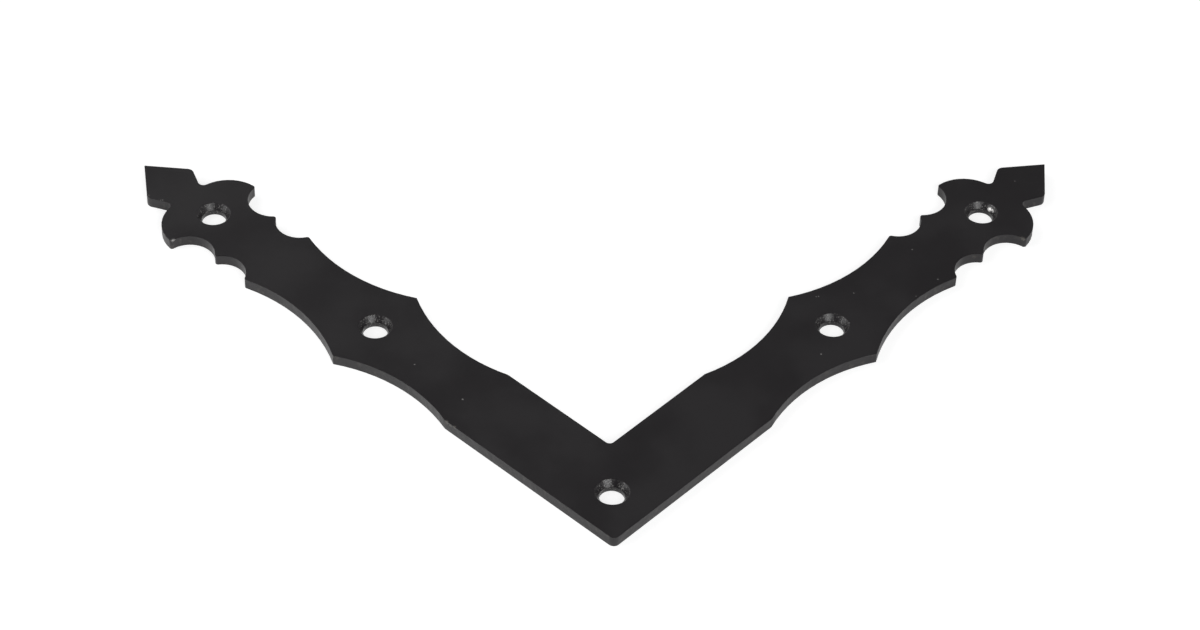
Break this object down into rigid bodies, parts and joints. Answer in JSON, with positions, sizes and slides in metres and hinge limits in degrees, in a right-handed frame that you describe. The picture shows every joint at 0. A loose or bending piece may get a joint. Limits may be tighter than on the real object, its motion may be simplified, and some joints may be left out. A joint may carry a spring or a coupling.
{
  "type": "decorative corner bracket",
  "caption": "Flat black steel L-shaped corner plate with ornamental crescent and spear ends and countersunk screw holes along both arms.",
  "frame": {"origin": "centre of the corner screw hole, on the back face of the plate", "axes": "one arm along +X, the other along +Y, the front (countersunk) face looking up +Z"},
  "size_m": [0.153, 0.153, 0.0026],
  "materials": {
    "black_coating": "satin black powder coating on steel, faintly textured"
  },
  "bodies": {
    "root": {"corner_plate": "black_coating"}
  },
  "joints": []
}
